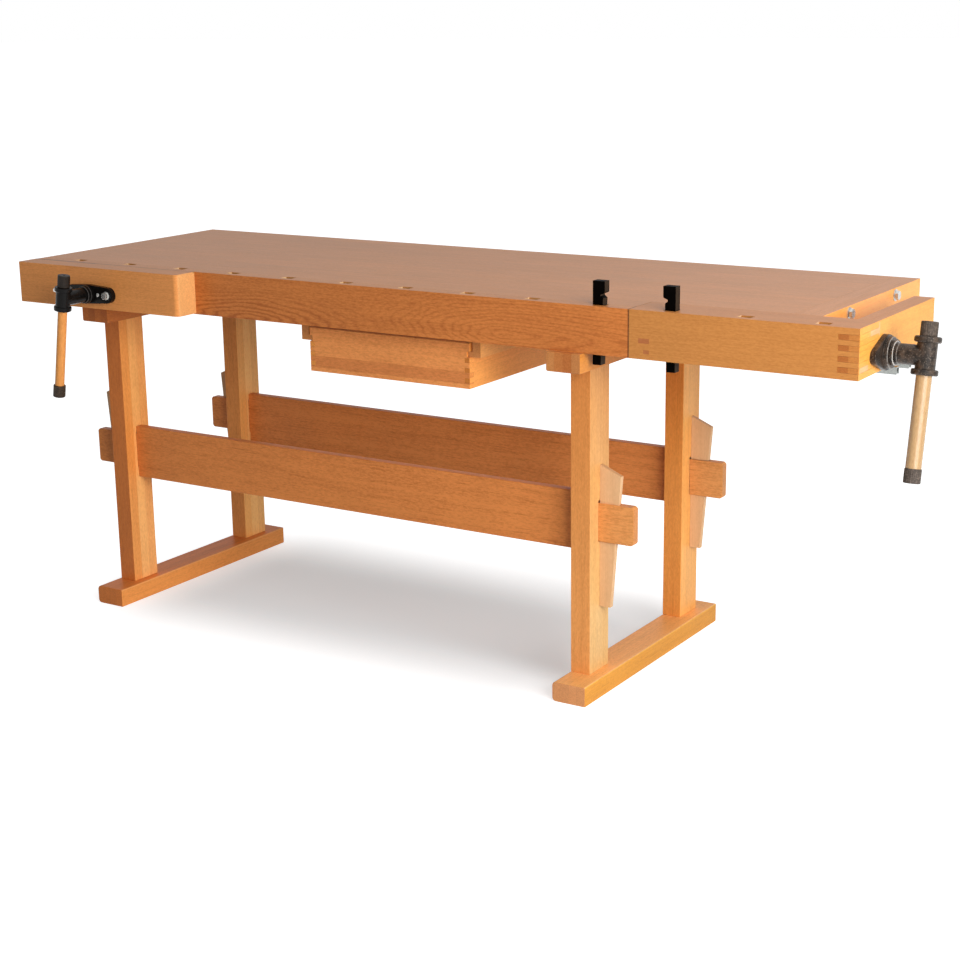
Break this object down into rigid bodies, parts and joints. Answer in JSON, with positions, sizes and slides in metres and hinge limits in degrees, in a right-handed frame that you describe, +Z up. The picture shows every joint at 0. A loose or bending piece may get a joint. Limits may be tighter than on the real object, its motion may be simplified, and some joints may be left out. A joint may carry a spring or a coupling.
{
  "type": "woodworking bench",
  "caption": "Beech woodworking bench: thick top with square dog holes, front vise and tail vise on screws, hanging drawer, bench dogs, trestle base with wedged stretchers.",
  "frame": {"origin": "on the floor, under the middle of the bounding box", "axes": "+X along the length toward the tail vise, +Y toward the back, +Z up"},
  "size_m": [2.249, 0.8324, 0.909],
  "materials": {
    "beech": "oiled, satin",
    "beech_top": "planed and oiled, satin",
    "beech_pale": "planed, pale",
    "zinc_steel": "zinc plated",
    "black_metal": "black, smooth",
    "raw_casting": "rough, grey-brown",
    "black_cap": "ridged, matte"
  },
  "bodies": {
    "bench": {"foot_left": "beech", "foot_right": "beech", "bearer_left": "beech", "bearer_right": "beech", "leg_front_left": "beech", "leg_back_left": "beech", "leg_front_right": "beech", "leg_back_right": "beech", "wedge_front_left": "beech_pale", "wedge_front_right": "beech_pale", "wedge_back_left": "beech_pale", "wedge_back_right": "beech_pale", "stretcher_front": "beech", "stretcher_back": "beech", "end_cap_left": "beech", "end_cap_right": "beech", "cap_bolt_front_left": "zinc_steel", "cap_bolt_back_left": "zinc_steel", "cap_bolt_front_right": "zinc_steel", "cap_bolt_back_right": "zinc_steel", "top_slab": "beech_top", "back_rail": "beech", "front_rail": "beech", "dog_strip": "beech", "front_nut": "raw_casting", "tail_nut": "raw_casting", "tail_guide_bracket": "beech", "drawer_runner_left": "beech", "drawer_runner_right": "beech"},
    "front_vise_jaw": {"front_jaw": "beech", "front_flange": "black_metal", "front_flange_bolt_left": "zinc_steel", "front_flange_bolt_right": "zinc_steel", "front_guide_rod_left": "zinc_steel", "front_guide_rod_right": "zinc_steel"},
    "front_vise_screw": {"front_screw": "zinc_steel", "front_head": "black_metal", "front_head_bolt": "zinc_steel"},
    "front_vise_handle": {"front_handle": "beech_pale", "front_handle_cap_upper": "black_cap", "front_handle_cap_lower": "black_cap"},
    "tail_vise_jaw": {"tail_block": "beech", "tail_beam": "beech_pale", "tail_flange": "raw_casting", "tail_guide_rail_front": "zinc_steel", "tail_guide_rail_back": "zinc_steel"},
    "tail_vise_screw": {"tail_screw": "zinc_steel", "tail_head": "raw_casting"},
    "tail_vise_handle": {"tail_handle": "beech_pale", "tail_handle_cap_upper": "black_cap", "tail_handle_cap_lower": "black_cap"},
    "drawer": {"drawer_front": "beech", "drawer_back": "beech", "drawer_side_left": "beech", "drawer_side_right": "beech", "drawer_bottom": "beech"},
    "left_dog": {"dog_left": "black_metal"},
    "right_dog": {"dog_right": "black_metal"}
  },
  "joints": [
    {"name": "front_screw_turn", "type": "hinge", "parent": "front_vise_jaw", "child": "front_vise_screw", "pos_m": [-0.8805, -0.39575, 0.7987], "axis": [0, -1, 0], "range_deg": [0, 7200]},
    {"name": "front_jaw_slide", "type": "slide", "parent": "bench", "child": "front_vise_jaw", "axis": [0, -1, 0], "range_m": [0, 0.1201]},
    {"name": "front_handle_slide", "type": "slide", "parent": "front_vise_screw", "child": "front_vise_handle", "axis": [0.1513, 0, 0.9885], "range_m": [0, 0.1795]},
    {"name": "tail_screw_turn", "type": "hinge", "parent": "tail_vise_jaw", "child": "tail_vise_screw", "pos_m": [1.0985, -0.11675, 0.796], "axis": [1, 0, 0], "range_deg": [0, 9000]},
    {"name": "tail_jaw_slide", "type": "slide", "parent": "bench", "child": "tail_vise_jaw", "axis": [1, 0, 0], "range_m": [0, 0.1501]},
    {"name": "tail_handle_slide", "type": "slide", "parent": "tail_vise_screw", "child": "tail_vise_handle", "axis": [0, 0.2045, 0.9789], "range_m": [0, 0.1745]},
    {"name": "drawer_slide", "type": "slide", "parent": "bench", "child": "drawer", "axis": [0, -1, 0], "range_m": [0, 0.3]},
    {"name": "left_dog_slide", "type": "slide", "parent": "bench", "child": "left_dog", "axis": [0, 0, 1], "range_m": [-0.049, 0.06]},
    {"name": "right_dog_slide", "type": "slide", "parent": "tail_vise_jaw", "child": "right_dog", "axis": [0, 0, 1], "range_m": [-0.049, 0.06]}
  ],
  "couplings": [
    {"joint": "front_jaw_slide", "follows": "front_screw_turn", "m_per_rad": 0.00095493},
    {"joint": "tail_jaw_slide", "follows": "tail_screw_turn", "m_per_rad": 0.00095493}
  ]
}
